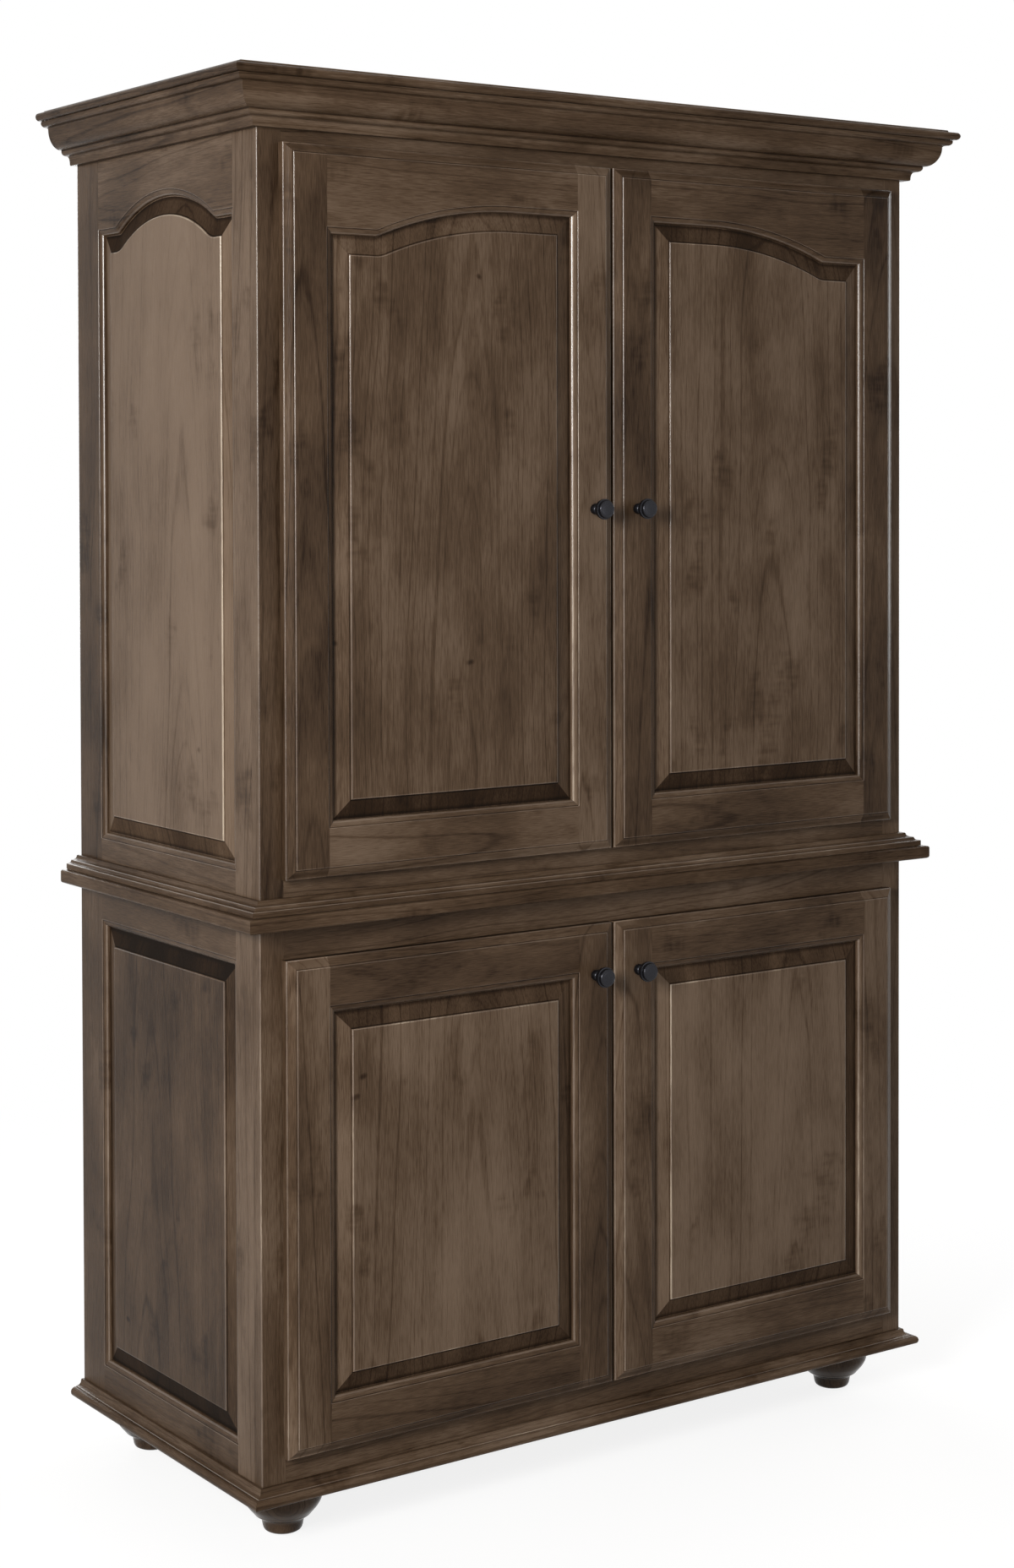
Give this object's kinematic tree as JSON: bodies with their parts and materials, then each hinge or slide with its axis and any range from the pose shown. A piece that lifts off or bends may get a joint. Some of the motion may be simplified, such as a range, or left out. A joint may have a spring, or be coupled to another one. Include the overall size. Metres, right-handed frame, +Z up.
{
  "type": "wine cabinet",
  "caption": "Tall stained-wood wine cabinet: arched raised-panel doors above, square raised-panel doors below, moulded crown, counter and base, on turned feet.",
  "frame": {"origin": "on the floor under the middle of the cabinet's bounding box", "axes": "+X to the right along the front, +Y from the doors to the back, +Z up"},
  "size_m": [1.359, 0.635, 2.092],
  "materials": {
    "frame_wood": "satin stained",
    "panel_wood": "satin stained",
    "moulding_wood": "satin stained and glazed",
    "foot_wood": "gloss stained",
    "inside_wood": "satin stained",
    "black_bronze": "satin black",
    "nickel_steel": "nickel plated"
  },
  "bodies": {
    "cabinet": {"top_board": "moulding_wood", "crown_moulding": "moulding_wood", "waist_moulding": "moulding_wood", "counter": "moulding_wood", "base_board": "moulding_wood", "upper_face_frame": "frame_wood", "lower_face_frame": "frame_wood", "upper_left_side_frame": "frame_wood", "upper_left_side_panel": "panel_wood", "upper_right_side_frame": "frame_wood", "upper_right_side_panel": "panel_wood", "lower_left_side_frame": "frame_wood", "lower_left_side_panel": "panel_wood", "lower_right_side_frame": "frame_wood", "lower_right_side_panel": "panel_wood", "upper_back": "inside_wood", "lower_back": "inside_wood", "upper_floor": "inside_wood", "lower_floor": "inside_wood", "upper_shelf": "inside_wood", "glass_rack": "inside_wood", "bottle_bins": "inside_wood", "front_left_foot": "foot_wood", "front_right_foot": "foot_wood", "back_left_foot": "foot_wood", "back_right_foot": "foot_wood", "upper_left_door_hinge_1": "nickel_steel", "upper_left_door_hinge_2": "nickel_steel", "upper_left_door_hinge_3": "nickel_steel", "upper_right_door_hinge_1": "nickel_steel", "upper_right_door_hinge_2": "nickel_steel", "upper_right_door_hinge_3": "nickel_steel", "lower_left_door_hinge_1": "nickel_steel", "lower_left_door_hinge_2": "nickel_steel", "lower_right_door_hinge_1": "nickel_steel", "lower_right_door_hinge_2": "nickel_steel"},
    "upper_left_door": {"upper_left_door_hinge_stile": "frame_wood", "upper_left_door_lock_stile": "frame_wood", "upper_left_door_top_rail": "frame_wood", "upper_left_door_bottom_rail": "frame_wood", "upper_left_door_raised_panel": "panel_wood", "upper_left_door_knob": "black_bronze"},
    "upper_right_door": {"upper_right_door_hinge_stile": "frame_wood", "upper_right_door_lock_stile": "frame_wood", "upper_right_door_top_rail": "frame_wood", "upper_right_door_bottom_rail": "frame_wood", "upper_right_door_raised_panel": "panel_wood", "upper_right_door_knob": "black_bronze"},
    "lower_left_door": {"lower_left_door_hinge_stile": "frame_wood", "lower_left_door_lock_stile": "frame_wood", "lower_left_door_top_rail": "frame_wood", "lower_left_door_bottom_rail": "frame_wood", "lower_left_door_raised_panel": "panel_wood", "lower_left_door_knob": "black_bronze"},
    "lower_right_door": {"lower_right_door_hinge_stile": "frame_wood", "lower_right_door_lock_stile": "frame_wood", "lower_right_door_top_rail": "frame_wood", "lower_right_door_bottom_rail": "frame_wood", "lower_right_door_raised_panel": "panel_wood", "lower_right_door_knob": "black_bronze"}
  },
  "joints": [
    {"name": "upper_left_door_hinge", "type": "hinge", "parent": "cabinet", "child": "upper_left_door", "pos_m": [-0.5705, -0.2577, 0.956], "axis": [0, 0, -1], "range_deg": [0, 105]},
    {"name": "upper_right_door_hinge", "type": "hinge", "parent": "cabinet", "child": "upper_right_door", "pos_m": [0.5705, -0.2577, 0.956], "axis": [0, 0, 1], "range_deg": [0, 105]},
    {"name": "lower_left_door_hinge", "type": "hinge", "parent": "cabinet", "child": "lower_left_door", "pos_m": [-0.5705, -0.2577, 0.136], "axis": [0, 0, -1], "range_deg": [0, 105]},
    {"name": "lower_right_door_hinge", "type": "hinge", "parent": "cabinet", "child": "lower_right_door", "pos_m": [0.5705, -0.2577, 0.136], "axis": [0, 0, 1], "range_deg": [0, 105]}
  ]
}
